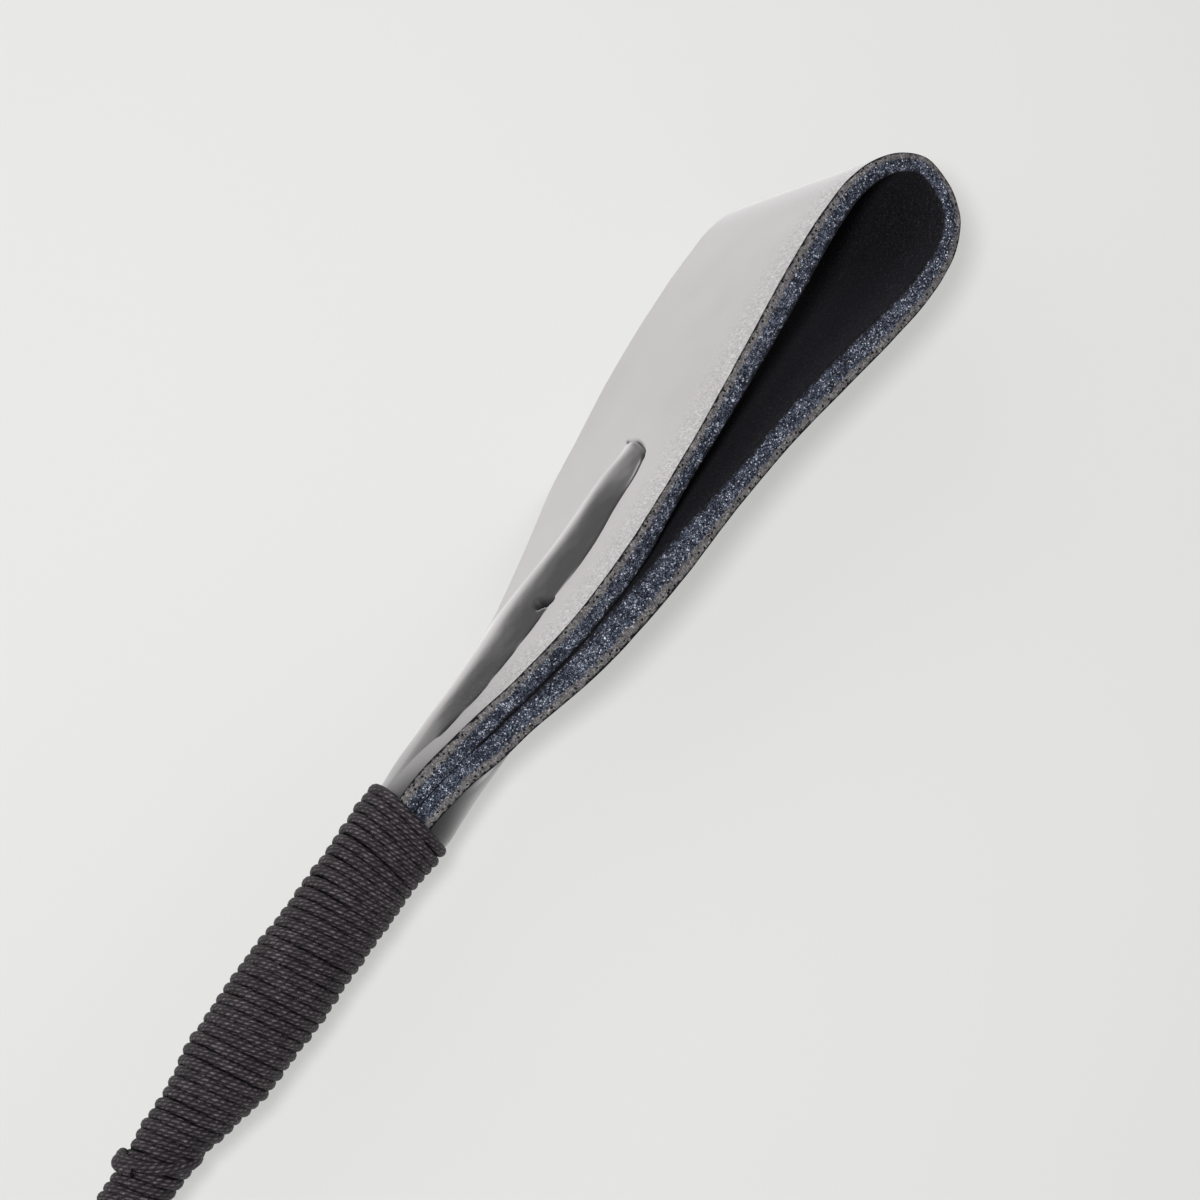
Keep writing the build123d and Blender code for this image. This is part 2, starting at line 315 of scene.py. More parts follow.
def grain_leather(name, dark=(0.014, 0.0130, 0.0140), painted_reflection=(0.42, 0.397, 0.403)):
    """Black coated leather with painted light: upright faces are painted a pale grey that stands in for their
    grazing reflection, and faces turned upward are painted dark as shade.
    """
    material, tree, shader = new_material(name, Coat_Roughness=0.45, Sheen_Weight=0.3, Sheen_Roughness=0.4)
    point = place(tree)
    coarse = value_of(tree, "coarse")
    pebble = cells(tree, 0.42, place(tree, (1.6, 1, 0.5)), "SMOOTH_F1", 0.25)
    crinkle = noise(tree, 0.20, place(tree, (1.3, 1, 0.5)), 2, 0.5, 1.6)
    cloud = noise(tree, 6.0, point, 3, 0.5)
    normal = add(tree, "ShaderNodeNewGeometry").outputs["Normal"]
    # Painted reflection and painted shade: faces that stand upright get the pale grey that stands in for
    # their grazing reflection, and faces turned upward get the dark colour; a mesh value sets per side how
    # strongly upward faces darken.
    upward = add(tree, "ShaderNodeSeparateXYZ", {"Vector": normal}).outputs["Z"]
    upward = times(tree, upward, value_of(tree, "upward_shade"))
    upward = plus(tree, upward, maths(tree, "MULTIPLY_ADD", cloud, 0.06, -0.03))
    pale = grey_steps(tree, upward, [(0.0, 1.0), (0.10, 0.75), (0.22, 0.35), (0.32, 0.08), (0.42, 0.0)])
    # Painted shade: the pale colour is taken down towards the whipping, over a span along x stored on the
    # mesh.
    pale = times(tree, pale, maths(tree, "MULTIPLY_ADD", value_of(tree, "neck_shade"), -0.6, 1.0))
    tone = noise(tree, 2.2, place(tree, (0.35, 1, 1)), 2)
    deep = mixed(tree, tone, tuple(0.75 * part for part in dark), tuple(1.5 * part for part in dark))
    colour = mixed(tree, pale, deep, painted_reflection)
    # Painted shade in the grain's furrows and painted highlight on its crests, in the coarse band below the
    # upper edge.
    grain_furrow_shade = grey_steps(tree, crinkle, [(0.36, 1.0), (0.46, 0.55), (0.52, 0.0)])
    grain_furrow_shade = times(tree, grain_furrow_shade, coarse)
    colour = mixed(tree, times(tree, grain_furrow_shade, 0.75), colour, (0.42, 0.40, 0.41), "MULTIPLY")
    grain_crest_highlight = times(tree, grey_steps(tree, crinkle, [(0.54, 0.0), (0.66, 1.0)]), coarse)
    colour = mixed(tree, times(tree, grain_crest_highlight, 0.35), colour, (0.95, 0.93, 0.94))
    # Painted shade: near black, with less gloss, in the slits and crease, beside the whipping's front near
    # the upper edge and under the cord.
    painted_shade = value_of(tree, "painted_shade")
    colour = mixed(tree, painted_shade, colour, (0.004, 0.004, 0.006))
    link(shader, "Base Color", colour)
    link(shader, "Specular IOR Level", maths(tree, "MULTIPLY_ADD", painted_shade, -0.6, 0.6))
    link(shader, "Coat Weight", maths(tree, "MULTIPLY_ADD", painted_shade, -0.3, 0.3))
    height = plus(tree, times(tree, pebble, -0.9), times(tree, crinkle, 0.6))
    height = times(tree, height, maths(tree, "MULTIPLY_ADD", coarse, 0.85, 0.15))
    raise_surface(tree, shader, height, 0.05, 0.9)
    link(shader, "Roughness", maths(tree, "MULTIPLY_ADD", crinkle, 0.2, 0.40))
    return material


def cut_leather(name):
    """A cut edge: a black finish line, a grey grain band and a dark navy band full of pale fibre ends."""
    material, tree, shader = new_material(name, Roughness=0.8, Specular_IOR_Level=0.2)
    point = place(tree)
    depth = value_of(tree, "depth")
    ragged = maths(tree, "MULTIPLY_ADD", noise(tree, 0.5, point, 3), 0.30, -0.15)
    depth = plus(tree, depth, ragged)
    fibres = noise(tree, 0.26, point, 3, 0.7, 2.0)
    clumps = noise(tree, 1.0, point, 2, 0.5, 0.8)
    pits = cells(tree, 0.42, point)
    grain = colour_steps(tree, fibres, [(0.34, (0.035, 0.033, 0.034)), (0.46, (0.088, 0.082, 0.083)),
                                        (0.58, (0.155, 0.146, 0.147)), (0.68, (0.36, 0.345, 0.345))])
    grain = mixed(tree, grey_steps(tree, pits, [(0.20, 1.0), (0.32, 0.0)]), grain, (0.004, 0.004, 0.004))
    mix = plus(tree, fibres, maths(tree, "MULTIPLY_ADD", clumps, 0.16, -0.08))
    flesh = colour_steps(tree, mix, [(0.42, (0.004, 0.005, 0.008)), (0.49, (0.022, 0.026, 0.040)),
                                     (0.545, (0.048, 0.056, 0.082)), (0.60, (0.11, 0.125, 0.165)),
                                     (0.65, (0.30, 0.325, 0.38)), (0.70, (0.72, 0.74, 0.80))])
    tips = grey_steps(tree, cells(tree, 0.34, point), [(0.13, 1.0), (0.22, 0.0)])
    flesh = mixed(tree, times(tree, tips, 0.5), flesh, (0.80, 0.82, 0.88))
    inner = grey_steps(tree, depth, [(0.27, 0.0), (0.37, 1.0)])
    colour = mixed(tree, inner, grain, flesh)
    rims = maths(tree, "MAXIMUM", grey_steps(tree, depth, [(0.03, 1.0), (0.09, 0.0)]),
                 grey_steps(tree, depth, [(0.84, 0.0), (0.97, 0.9)]))
    colour = mixed(tree, rims, colour, (0.006, 0.006, 0.008))
    link(shader, "Base Color", colour)
    height = plus(tree, fibres, times(tree, clumps, 0.6))
    raise_surface(tree, shader, height, 0.07, 0.9)
    return material


def suede_leather(name):
    """The unfinished inner side: nearly black with a short navy nap."""
    material, tree, shader = new_material(name, Roughness=1.0, Specular_IOR_Level=0.02, Sheen_Weight=0.02,
                                          Sheen_Roughness=0.5, Sheen_Tint=(0.8, 0.8, 1.0, 1.0))
    point = place(tree)
    nap = noise(tree, 0.16, point, 3, 0.6, 1.0)
    cloud = noise(tree, 2.5, point, 3)
    colour = colour_steps(tree, nap, [(0.35, (0.0055, 0.005, 0.0055)), (0.58, (0.015, 0.0145, 0.016)),
                                      (0.72, (0.07, 0.07, 0.085))])
    colour = mixed(tree, times(tree, cloud, 0.5), colour, (0.3, 0.3, 0.35), "MULTIPLY")
    link(shader, "Base Color", colour)
    raise_surface(tree, shader, nap, 0.05, 0.7)
    return material


def waxed_cord(name):
    """Dark braided, waxed cord: yarns cross both ways round it, and their crowns are painted pale as short
    highlights.
    """
    material, tree, shader = new_material(name, Roughness=0.6, Specular_IOR_Level=0.3)
    fluff = noise(tree, 0.16, place(tree), 3, 0.6, 1.0)
    patches = noise(tree, 1.1, place(tree), 2, 0.6)
    outward = value_of(tree, "ring_out")
    along = plus(tree, value_of(tree, "along"), times(tree, patches, 0.5))
    around = maths(tree, "ARCTAN2", value_of(tree, "ring_side"), outward)
    runs = times(tree, along, math.pi / STITCH_LENGTH)
    rows = maths(tree, "MULTIPLY_ADD", around, 5.0, times(tree, runs, 0.35))
    rows = plus(tree, rows, times(tree, fluff, 1.6))
    rows = maths(tree, "ABSOLUTE", maths(tree, "COSINE", rows))
    dashes = maths(tree, "MULTIPLY_ADD", around, 2.0, runs)
    dashes = maths(tree, "POWER", maths(tree, "ABSOLUTE", maths(tree, "SINE", dashes)), 0.6)
    stitch = times(tree, rows, dashes)
    # Painted highlight: the crowns of the stitch pattern are painted pale.
    tone = plus(tree, times(tree, stitch, 0.5), times(tree, fluff, 0.7))
    tone = plus(tree, tone, maths(tree, "MULTIPLY_ADD", patches, 0.5, -0.25))
    colour = colour_steps(tree, tone, [(0.35, (0.006, 0.005, 0.006)), (0.58, (0.021, 0.017, 0.020)),
                                       (0.78, (0.048, 0.039, 0.045)), (0.98, (0.15, 0.125, 0.138))])
    # Painted shade: each cord is painted near black on the sides that turn in towards its neighbours and the
    # core.
    deep = grey_steps(tree, outward, [(0.2, 1.0), (0.72, 0.0)])
    colour = mixed(tree, times(tree, deep, 0.85), colour, (0.002, 0.002, 0.003))
    link(shader, "Base Color", colour)
    raise_surface(tree, shader, plus(tree, stitch, times(tree, fluff, 0.5)), 0.07, 0.9)
    return material


def braid_nylon(name):
    """Woven nylon yarn with a faint lengthwise sheen."""
    material, tree, shader = new_material(name, Roughness=0.45, Specular_IOR_Level=0.5,
                                          Sheen_Weight=0.2, Sheen_Roughness=0.4)
    across = value_of(tree, "across")
    flat = add(tree, "ShaderNodeCombineXYZ", {"X": across}).outputs[0]
    settings = {"Vector": flat, "Scale": 3.0, "Distortion": 0.6}
    filaments = add(tree, "ShaderNodeTexWave", settings).outputs["Fac"]
    fluff = noise(tree, 0.2, place(tree), 3)
    tone = plus(tree, times(tree, filaments, 0.5), times(tree, fluff, 0.5))
    colour = colour_steps(tree, tone, [(0.2, (0.006, 0.006, 0.007)), (0.6, (0.022, 0.021, 0.023)),
                                       (0.9, (0.05, 0.048, 0.052))])
    link(shader, "Base Color", colour)
    raise_surface(tree, shader, tone, 0.03, 0.6)
    return material


def grip_leather(name):
    """Softer black leather for the wound grip, polished where the hand rubs it."""
    material, tree, shader = new_material(name, Specular_IOR_Level=0.55, Coat_Weight=0.15,
                                          Coat_Roughness=0.35)
    point = place(tree)
    pebble = cells(tree, 0.7, point, "SMOOTH_F1")
    crinkle = noise(tree, 0.5, point, 3, 0.6, 1.0)
    wear = noise(tree, 9.0, point, 3)
    colour = colour_steps(tree, crinkle, [(0.3, (0.016, 0.0155, 0.016)), (0.7, (0.034, 0.033, 0.034))])
    edge = value_of(tree, "edge")
    colour = mixed(tree, edge, colour, (0.008, 0.008, 0.008))
    link(shader, "Base Color", colour)
    height = plus(tree, pebble, times(tree, crinkle, 0.5))
    raise_surface(tree, shader, height, 0.06, 0.6)
    link(shader, "Roughness", grey_steps(tree, wear, [(0.35, 0.36), (0.65, 0.5)]))
    return material


def satin_metal(name, colour=(0.60, 0.60, 0.62), roughness=0.3):
    """Turned metal with fine lathe marks round the axis."""
    material, tree, shader = new_material(name, Metallic=1.0, Anisotropic=0.4)
    lines = noise(tree, 0.5, place(tree, (6, 0.2, 0.2)), 3, 0.6)
    cloud = noise(tree, 3.0, place(tree), 3)
    link(shader, "Base Color", mixed(tree, times(tree, cloud, 0.35), colour, tuple(c * 0.7 for c in colour)))
    link(shader, "Roughness", grey_steps(tree, lines, [(0.3, roughness - 0.06), (0.7, roughness + 0.08)]))
    raise_surface(tree, shader, lines, 0.01, 0.4)
    return material


def moulded_plastic(name, colour=(0.012, 0.012, 0.013), low=0.22, high=0.34):
    """Moulded plastic with a faint orange-peel and rubbed patches."""
    material, tree, shader = new_material(name, Specular_IOR_Level=0.5)
    peel = noise(tree, 0.9, place(tree), 2)
    rub = noise(tree, 7.0, place(tree), 4, 0.6)
    link(shader, "Base Color", mixed(tree, times(tree, rub, 0.3), colour, tuple(c * 1.8 for c in colour)))
    link(shader, "Roughness", grey_steps(tree, rub, [(0.35, low), (0.7, high)]))
    raise_surface(tree, shader, peel, 0.012, 0.5)
    return material


FLOOR_GLOW = 0.40
FLOOR_SIZE = 8


def floor_paper(name):
    """The pale, even surface that the crop lies on."""
    material, tree, shader = new_material(name, Roughness=0.95, Specular_IOR_Level=0.0,
                                          Emission_Strength=FLOOR_GLOW)
    cloud = noise(tree, 60.0, place(tree), 2)
    colour = mixed(tree, cloud, (0.298, 0.298, 0.294), (0.302, 0.302, 0.298))
    link(shader, "Base Color", colour)
    shader.inputs["Emission Color"].default_value = (0.985, 0.988, 0.962, 1)
    return material


# ---- the keeper: one leather strip folded into a teardrop -----------------------
# All keeper sizes are in mm; x is measured from the whipping's front, heights from the axis.
# Outer face seen from above, out along the left side and back along the right.
LEFT_PLAN = [(-4, 1.9), (0, 2.35), (3, 2.53), (6.5, 2.33), (11, 2.05), (16, 2.1), (22, 2.3), (29, 2.66),
             (36, 3.28), (43, 4.12), (50, 4.98), (56.5, 5.42), (60.3, 5.25), (62.9, 4.45), (65.1, 2.9),
             (66.3, 0.9)]
RIGHT_PLAN = [(66.3, -0.6), (65.8, -2.5), (64.6, -4.4), (62.6, -5.65), (60, -6.2), (57, -6.25), (53, -5.8),
              (47, -4.85), (40, -3.75), (34, -3.2), (27, -2.92), (20, -2.6), (14.5, -2.35), (10.5, -2.0),
              (7, -1.8), (4.5, -1.3), (2, -1.05), (-4, -1.0)]
LEFT_THICKNESS = [(-4, 1.3), (3, 1.85), (14, 1.78), (24, 1.9), (31, 1.55), (42, 1.9), (50, 2.1),
                  (58, 1.8), (66, 1.5)]
RIGHT_THICKNESS = [(-4, 1.5), (4, 1.95), (10, 2.1), (20, 2.75), (28, 2.6), (33, 2.15), (48, 2.3),
                   (59, 1.95), (66, 1.5)]
SEAM = [(-4, 0.7), (0, 0.72), (4, 0.6), (7, 0.33), (10, 0.12), (14, 0.17), (18.5, 0.3), (22, 0.38)]
SEAM_END = 24.0
# The strip's cut edges above and below the axis.
UPPER_EDGE = [(-4, 2.4), (0, 2.9), (5, 4.5), (8.7, 5.9), (12.6, 8.3), (16.3, 10.5), (19, 11.6),
              (22, 12.2), (25, 12.5), (28, 12.5), (80, 12.5)]
LOWER_EDGE = [(-4, 2.4), (0, 2.9), (8, 3.4), (13, 4.4), (18.5, 6.2), (23.5, 8.6), (28.5, 11.0), (31.5, 12.15),
              (34.5, 12.5), (37.5, 12.5), (80, 12.5)]
# The ridge moulded over the rod on the left face: its sharp upper foot, its crest, how proud it stands
# and how far below the crest it has faded away.
RIDGE_FOOT = [(-4, 1.0), (4, 1.2), (6, 2.1), (9, 2.4), (12, 2.8), (15.5, 3.6), (17.5, 4.0), (19.3, 4.5),
              (23, 5.15), (26, 5.25), (29, 4.8), (32.3, 4.95), (33.5, 4.6), (34.3, 4.0), (35, 2.6),
              (35.5, 1.5), (80, 1.5)]
RIDGE_CREST = [(-4, 0.0), (8, 0.3), (12, 0.4), (15, 0.5), (18, 0.9), (21, 1.4), (24, 2.1), (27, 2.3),
               (30, 1.9), (32, 1.6), (34, 1.9), (35.5, 1.4), (80, 1.4)]
RIDGE_HEIGHT = [(-4, 0), (2, 0.1), (5, 0.55), (8, 1.05), (12, 1.4), (15, 1.55), (18, 1.85), (22, 1.9),
                (27, 1.7), (31, 1.5), (36, 1.4)]
RIDGE_FALL = [(-4, 6.0), (8, 7.0), (18, 8.0), (22, 7.5), (28, 6.5), (33, 4.5), (35.5, 3.0), (80, 3.0)]
# The ridge's round end, over the end of the rod.
NOSE_START, NOSE_END = 29.5, 35.6
# How far the shell over the rod stands out from the axis on each side, and the neck's radius under the cord.
SHELL_LEFT = [(-4, 2.6), (-1.5, 2.8), (0, 2.95), (5, 3.1), (10, 3.2), (16, 3.36)]
SHELL_RIGHT = [(-4, 2.6), (-2, 3.4), (-0.5, 3.95), (2, 3.9), (5, 3.65), (10, 3.55), (17, 3.6), (30, 3.7)]
TIED_LIMIT = 2.82
# The whipping is three cords laid side by side, with the first turns tilted so that its front is square.
CORD = 0.89
WHIP_STARTS = 3
WHIP_LEAD = CORD * WHIP_STARTS
WHIP_START, WHIP_START_ANGLE, WHIP_TILT, TILT_TURN = 1.4, 4.71, 1.1, 0.33
# Slits in the left face: round the ridge's end, a short nick across its foot and one along the foot.
HOOK_SLIT = [(35.45, -0.4), (35.45, 1.0), (35.2, 2.1), (34.8, 3.1), (34.3, 4.0), (33.6, 4.55)]
NICK = [(19.05, 3.4), (19.7, 4.4)]
LOWER_SLIT = [(6, 2.1), (9, 2.4), (12, 2.8), (15.5, 3.6), (17.5, 4.0), (19.0, 4.3)]
KEEPER_LEAN = 0.5
# Leather out of sight under the cord is painted dark as shade from here back to here.
BURIED_FROM, BURIED_TO = -1.8, -2.4
# On the right face the painted shade is weaker than on the left: upward faces are painted less dark and the
# neck less shaded.
RIGHT_UPWARD_SHADE, RIGHT_NECK_SHADE = 0.4, 0.15
# Span along x over which the keeper is painted darker towards the whipping, as shade.
NECK_SHADE_SPAN = (1, 18)
FIBRES_PER_EDGE = 1500
# Columns are closer together along the ridge and its slits; rows are counted stretch by stretch.
FINE_STEP, COARSE_STEP = 0.16, 0.40
FINE_RANGE = (4.0, 37.5)
ROWS_ABOVE, ROWS_BELOW, ROWS_EDGE, ROWS_INNER = 48, 74, 14, 50


def plan_curve():
    """Columns along the folded strip: x, y, outward normal, thickness and which half they are in."""
    plan = np.array(LEFT_PLAN + RIGHT_PLAN, float)
    chord = np.concatenate([[0], np.cumsum(np.linalg.norm(np.diff(plan, axis=0), axis=1))])
    dense = np.linspace(0, chord[-1], 6000)
    x, y = (curve_through(np.stack([chord, plan[:, k]], 1), dense) for k in range(2))
    tip = dense[np.argmax(x)]
    fine = (dense < tip) & (x > FINE_RANGE[0]) & (x < FINE_RANGE[1])
    step = np.where(fine, FINE_STEP, COARSE_STEP)
    index = np.concatenate([[0], np.cumsum(np.hypot(np.diff(x), np.diff(y)) / step[1:])])
    columns = np.interp(np.arange(0, index[-1]), index, dense)
    x, y = (curve_through(np.stack([chord, plan[:, k]], 1), columns) for k in range(2))
    left = columns < tip
    thick = np.where(left, curve_through(LEFT_THICKNESS, x), curve_through(RIGHT_THICKNESS, x))
    tangent = np.stack([np.gradient(x), np.gradient(y)], 1)
    tangent /= np.linalg.norm(tangent, axis=1)[:, None]
    normal = np.stack([-tangent[:, 1], tangent[:, 0]], 1)
    return x, y, normal, thick, left


def distance_to(route, x, z):
    """Distance of points from a line drawn through (x, z) places."""
    best = np.full(x.shape, 1e9)
    for (x0, z0), (x1, z1) in zip(route, route[1:]):
        dx, dz = x1 - x0, z1 - z0
        t = np.clip(((x - x0) * dx + (z - z0) * dz) / (dx * dx + dz * dz), 0, 1)
        best = np.minimum(best, np.hypot(x - x0 - t * dx, z - z0 - t * dz))
    return best


def ridge(x, z):
    """Height of the moulded ridge: a straight flank up from a sharp foot, a round crest, a long soft fall."""
    foot = curve_through(RIDGE_FOOT, x)
    crest = curve_through(RIDGE_CREST, x)
    fall = curve_through(RIDGE_FALL, x)
    nose = np.clip((x - NOSE_START) / (NOSE_END - NOSE_START), 0, 1)
    height = curve_through(RIDGE_HEIGHT, x) * np.sqrt(1 - nose ** 2.2)
    up = (foot - z) / np.maximum(foot - crest, 0.4)
    ease = 0.05 + 0.10 * smooth_step(x, 21, 25) * (1 - smooth_step(x, 31, 34))
    up = smooth_max(up, 0, ease) - 0.2 * ease
    down = 0.5 + 0.5 * np.cos(np.pi * np.clip((crest + 0.5 - z) / fall, 0, 1))
    soft = 0.6 + 0.3 * nose
    return height * np.clip(0.5 * (up + down - np.sqrt((up - down) ** 2 + soft ** 2)), 0, None)


def slits(x, z):
    """Depth of the slits and the crease round the ridge, and how dark each place in them is painted as shade.
    """
    hook = np.exp(-(distance_to(HOOK_SLIT, x, z) / 0.17) ** 2)
    wide = 0.26 + 0.2 * smooth_step(4.3 - z, 0.2, 1.4)
    nick = np.exp(-(distance_to(NICK, x, z) / wide) ** 6)
    broken = 0.7 + 0.3 * np.sin(1.9 * x + 0.5)
    lower = broken * np.exp(-(distance_to(LOWER_SLIT, x, z) / 0.2) ** 2)
    foot = curve_through(RIDGE_FOOT, x)
    crease = np.exp(-((z - foot + 0.05) / 0.16) ** 2)
    crease = smooth_step(x, 20, 24) * (1 - smooth_step(x, 33.4, 34)) * crease
    depth = 0.3 * hook + 0.7 * nick + 0.2 * lower + 0.1 * crease
    dark = np.maximum.reduce([0.95 * hook, nick, lower, 0.55 * crease])
    return depth, dark


def face_offset(x, y, z, left):
    """Distance of a face from the fold's mid plane at height z, given its flat plan distance y."""
    side_shell = curve_through(SHELL_LEFT if left else SHELL_RIGHT, x)
    shell = np.sqrt(np.clip(side_shell ** 2 - z ** 2, 0, None))
    edge = np.where(z > 0, curve_through(UPPER_EDGE, x), curve_through(LOWER_EDGE, x))
    part = np.clip(np.abs(z) / edge, 0, 1)
    rounding = 0.35 * (np.sqrt(1 - (0.96 * part) ** 2) - 0.28) / 0.72 + 0.65 * (1 - part ** 1.3)
    wrapped = y + np.clip(side_shell - y, 0, None) * rounding
    if left:
        share = smooth_step(x, -3, 11)
        return wrapped * (1 - share) + (y + ridge(x, z) - slits(x, z)[0]) * share
    nose = 1 - smooth_step(x, 31, 37)
    share = smooth_step(x, 2, 12)
    moulded = y + (smooth_max(y, shell, 0.7) - smooth_max(y, 0, 0.7)) * nose
    return wrapped * (1 - share) + moulded * share


def keeper_sections():
    """Every ring of points round the strip's cut section, with the values its materials read."""
    plan_x, plan_y, normal, thick, left = plan_curve()
    dense_up = 0.5 - 0.5 * np.cos(np.pi * np.linspace(0, 1, ROWS_ABOVE))
    dense_down = 0.5 - 0.5 * np.cos(np.pi * np.linspace(0, 1, ROWS_BELOW))
    edge = np.linspace(0, 1, ROWS_EDGE + 2)[1:-1]
    inner_rows = np.linspace(0, 1, ROWS_INNER)
    rings, depths, darks = [], [], []
    for x, y, n, t, is_left in zip(plan_x, plan_y, normal, thick, left):
        here = np.array([x])
        upper = curve_through(UPPER_EDGE, here)[0]
        lower = -curve_through(LOWER_EDGE, here)[0]
        foot = curve_through(RIDGE_FOOT, here)[0] if is_left else 1.8
        foot = min(max(foot, lower * 0.6), upper * 0.8)
        top, bottom = upper - 0.10, lower + 0.01
        z_outer = np.concatenate([top + (foot - top) * dense_up, foot + (bottom - foot) * dense_down[1:]])
        z_inner = bottom + (top - bottom) * inner_rows
        sign = 1 if is_left else -1
        flat = x > NOSE_END + 1.5

        def lift(z):
            if flat:
                return np.zeros_like(z)
            return face_offset(np.full_like(z, x), abs(y), z, is_left) - abs(y)

        inner_x, inner_y = x - n[0] * t, y - n[1] * t
        if x < SEAM_END:
            seam = curve_through(SEAM, np.array([min(x, SEAM[-1][0])]))[0]
            inner_y = max(inner_y, seam + 0.02) if is_left else min(inner_y, seam - 0.02)
        crown = 0.07 * np.sin(np.pi * edge)
        round_over = 0.05 * np.abs(2 * edge - 1) ** 6 + 0.12 * smooth_step(edge, 0.8, 1)
        face = np.stack([np.full_like(z_outer, x), y + sign * lift(z_outer), z_outer], 1)
        open_up = np.maximum(lift(z_inner), 0) * (1 - smooth_step(z_inner, upper - 1.6, upper - 0.3))
        back = np.stack([np.full_like(z_inner, inner_x), inner_y + sign * open_up, z_inner], 1)
        rim = [a[None] * (1 - edge[:, None]) + b[None] * edge[:, None]
               for a, b in ((face[0], back[-1]), (face[-1], back[0]))]
        rim[0][:, 2] = upper + crown - round_over
        rim[1][:, 2] = lower - crown + round_over * smooth_step(edge, 0.3, 0.8)
        rings.append(np.vstack([face, rim[1], back, rim[0][::-1]]))
        joined = 1 - 0.22 * (1 - float(smooth_step(x, 4, 10)))
        depths.append(np.concatenate([np.zeros(len(face)), edge, np.ones(len(back)), edge[::-1] * joined]))
        dark = slits(np.full_like(z_outer, x), z_outer)[1] if is_left and not flat else np.zeros_like(z_outer)
        # Painted shade on both faces next to the whipping's front, near the upper cut edge.
        whip_side_shade = 0.45 * (1 - smooth_step(x, 0.5, 5)) * (1 - smooth_step(upper - z_outer, 0.2, 3))
        # Painted shade: leather hidden under the cord is painted dark.
        buried = np.full_like(dark, 1 - smooth_step(x, BURIED_TO, BURIED_FROM))
        dark = np.maximum.reduce([dark, whip_side_shade, buried])
        darks.append(np.concatenate([dark, np.zeros(len(rings[-1]) - len(dark))]))
    return np.array(rings), np.array(depths), np.array(darks), left


def whip_front(angle):
    """Where the first turns of cord end round the neck; angle 0 faces left and a quarter turn is up."""
    turn = ((WHIP_START_ANGLE - angle) / (2 * math.pi)) % 1.0
    return WHIP_START - WHIP_LEAD * turn + WHIP_TILT * np.cos(angle + TILT_TURN)


def shape_keeper(rings, left):
    """Ties the neck in under the cord, leans the lower edge out and adds the leather's unevenness."""
    x, y, z = rings[..., 0], rings[..., 1], rings[..., 2]
    lean = KEEPER_LEAN * bump(x, 43, 9) * (0.5 - z / STRIP_TOP) * left[:, None]
    y = y + lean
    radius = np.hypot(y, z)
    free = x - whip_front(np.arctan2(z, y))
    limit = TIED_LIMIT + 3.0 * np.clip(free + 0.5, 0, None)
    eased = limit * (0.9 + 0.1 * np.tanh((radius / limit - 0.9) / 0.1))
    shrink = np.where(radius > limit * 0.9, eased, radius) / np.maximum(radius, 1e-6)
    y, z = y * shrink, z * shrink
    points = np.stack([x, y, z], -1)
    flat = points.reshape(-1, 3)
    sway = wave_noise(flat, 18.0, 3) * 0.04 * smooth_step(flat[:, 0], 4, 16)
    flat[:, 1] += sway
    rim = np.abs(flat[:, 2]) > 0.2
    flat[:, 2] += wave_noise(flat, 2.2, 5) * 0.03 * rim * smooth_step(flat[:, 0], 2, 8)
    return points


def keeper_strip(grain, cut, suede):
    """The keeper as one closed mesh, and the cut-edge bands that its loose fibres are grown on."""
    rings, depths, darks, left = keeper_sections()
    points = shape_keeper(rings, left)
    face_rows = ROWS_ABOVE + ROWS_BELOW - 1
    columns, rows = points.shape[:2]
    edge_low = slice(face_rows, face_rows + ROWS_EDGE)
    edge_high = slice(rows - ROWS_EDGE, rows)
    for band, sign in ((edge_low, -1), (edge_high, 1)):
        flat = points[:, band].reshape(-1, 3)
        rough = wave_noise(flat, 0.6, 11, octaves=3).reshape(columns, ROWS_EDGE)
        points[:, band, 2] += sign * (0.07 * rough - 0.03)
        if sign > 0:
            ragged = 0.10 * wave_noise(flat, 1.3, 17).reshape(columns, ROWS_EDGE)
            points[:, band, 1] += ragged * depths[:, band]
    points[..., 2] = np.clip(points[..., 2], -AXIS_Z + 0.005, None)
    shown = points + np.array([0, 0, AXIS_Z])
    faces = grid_faces(rows, columns, wrap_rows=True).tolist()
    faces.append(list(range(rows))[::-1])
    faces.append(list(range((columns - 1) * rows, columns * rows)))
    piece = new_object("keeper_strip", in_metres(shown.reshape(-1, 3)), faces, [grain, cut, suede])
    slots = np.ones(rows, int)
    slots[:face_rows + 4] = 0
    slots[face_rows + ROWS_EDGE:rows - ROWS_EDGE - 1] = 2
    piece.data.polygons.foreach_set("material_index", np.concatenate([np.tile(slots, columns - 1), [1, 1]]))
    point_value(piece, "depth", depths.reshape(-1))
    # Painted shade of the slits, crease, whipping's front and hidden leather.
    point_value(piece, "painted_shade", darks.reshape(-1))
    below_edge = shown[:, :1, 2] - shown[..., 2]
    coarse = (1 - smooth_step(below_edge, 1.0, 6.5)) * smooth_step(points[..., 0], 6, 14)
    point_value(piece, "coarse", coarse.reshape(-1))
    # Painted shade towards the whipping, weaker on the right face.
    neck_shade = (1 - smooth_step(points[..., 0], *NECK_SHADE_SPAN)) * np.where(left, 1.0, RIGHT_NECK_SHADE)[:, None]
    point_value(piece, "neck_shade", neck_shade.reshape(-1))
    # How strongly faces turned upward are painted dark as shade, weaker on the right face.
    point_value(piece, "upward_shade", np.repeat(np.where(left, 1.0, RIGHT_UPWARD_SHADE), rows))
    return piece, shown[:, edge_low], shown[:, edge_high]


